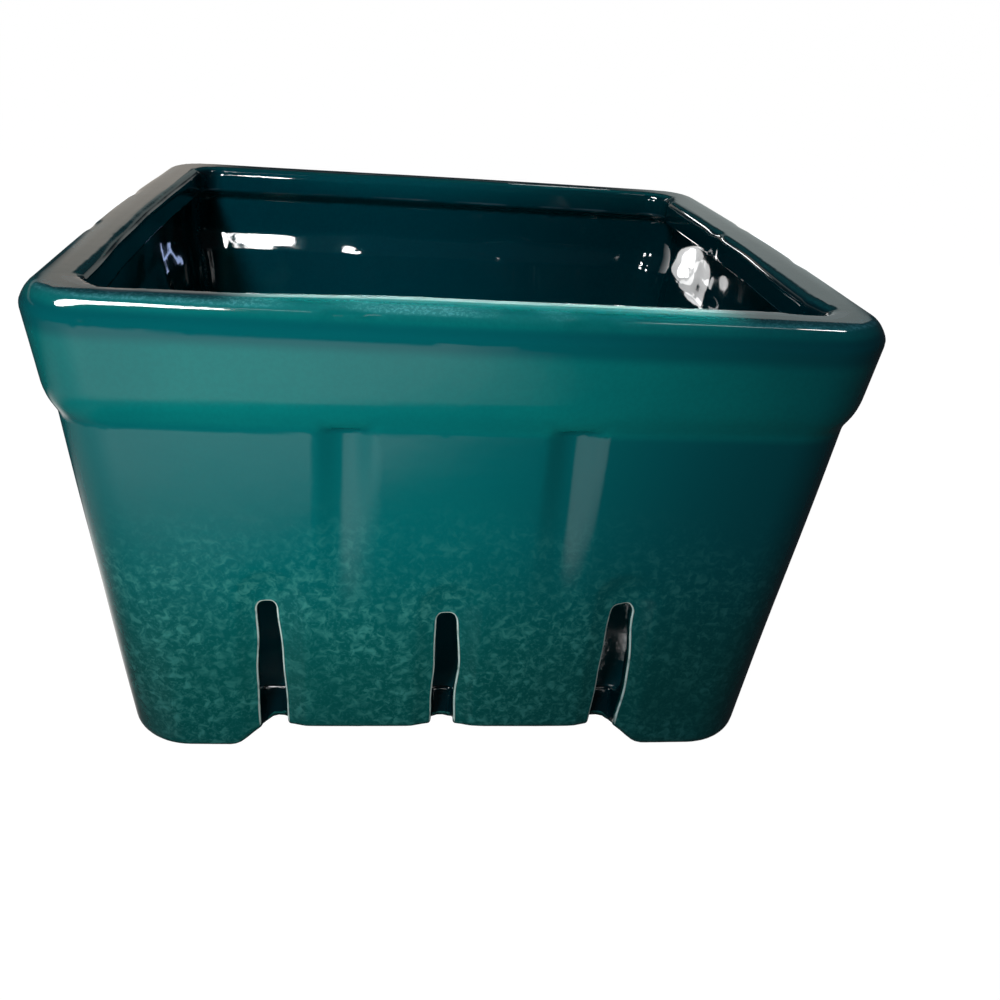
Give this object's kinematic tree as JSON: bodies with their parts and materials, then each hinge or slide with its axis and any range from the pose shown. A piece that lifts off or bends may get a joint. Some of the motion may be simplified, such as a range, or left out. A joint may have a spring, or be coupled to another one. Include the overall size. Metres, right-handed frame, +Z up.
{
  "type": "ceramic colander",
  "caption": "Square tapered ceramic colander basket with a banded rim, fluted sides, drain slots low in each side and corner feet.",
  "frame": {"origin": "middle of the plane that the four feet stand on", "axes": "+Z up through the open mouth, -Y towards the front side, +X to the right seen from the front"},
  "size_m": [0.15, 0.15, 0.0942],
  "materials": {
    "teal_glaze": "gloss"
  },
  "bodies": {
    "root": {"rim_collar": "teal_glaze", "front_wall": "teal_glaze", "right_wall": "teal_glaze", "back_wall": "teal_glaze", "left_wall": "teal_glaze", "base_floor": "teal_glaze", "foot_front_left": "teal_glaze", "foot_front_right": "teal_glaze", "foot_back_right": "teal_glaze", "foot_back_left": "teal_glaze"}
  },
  "joints": []
}
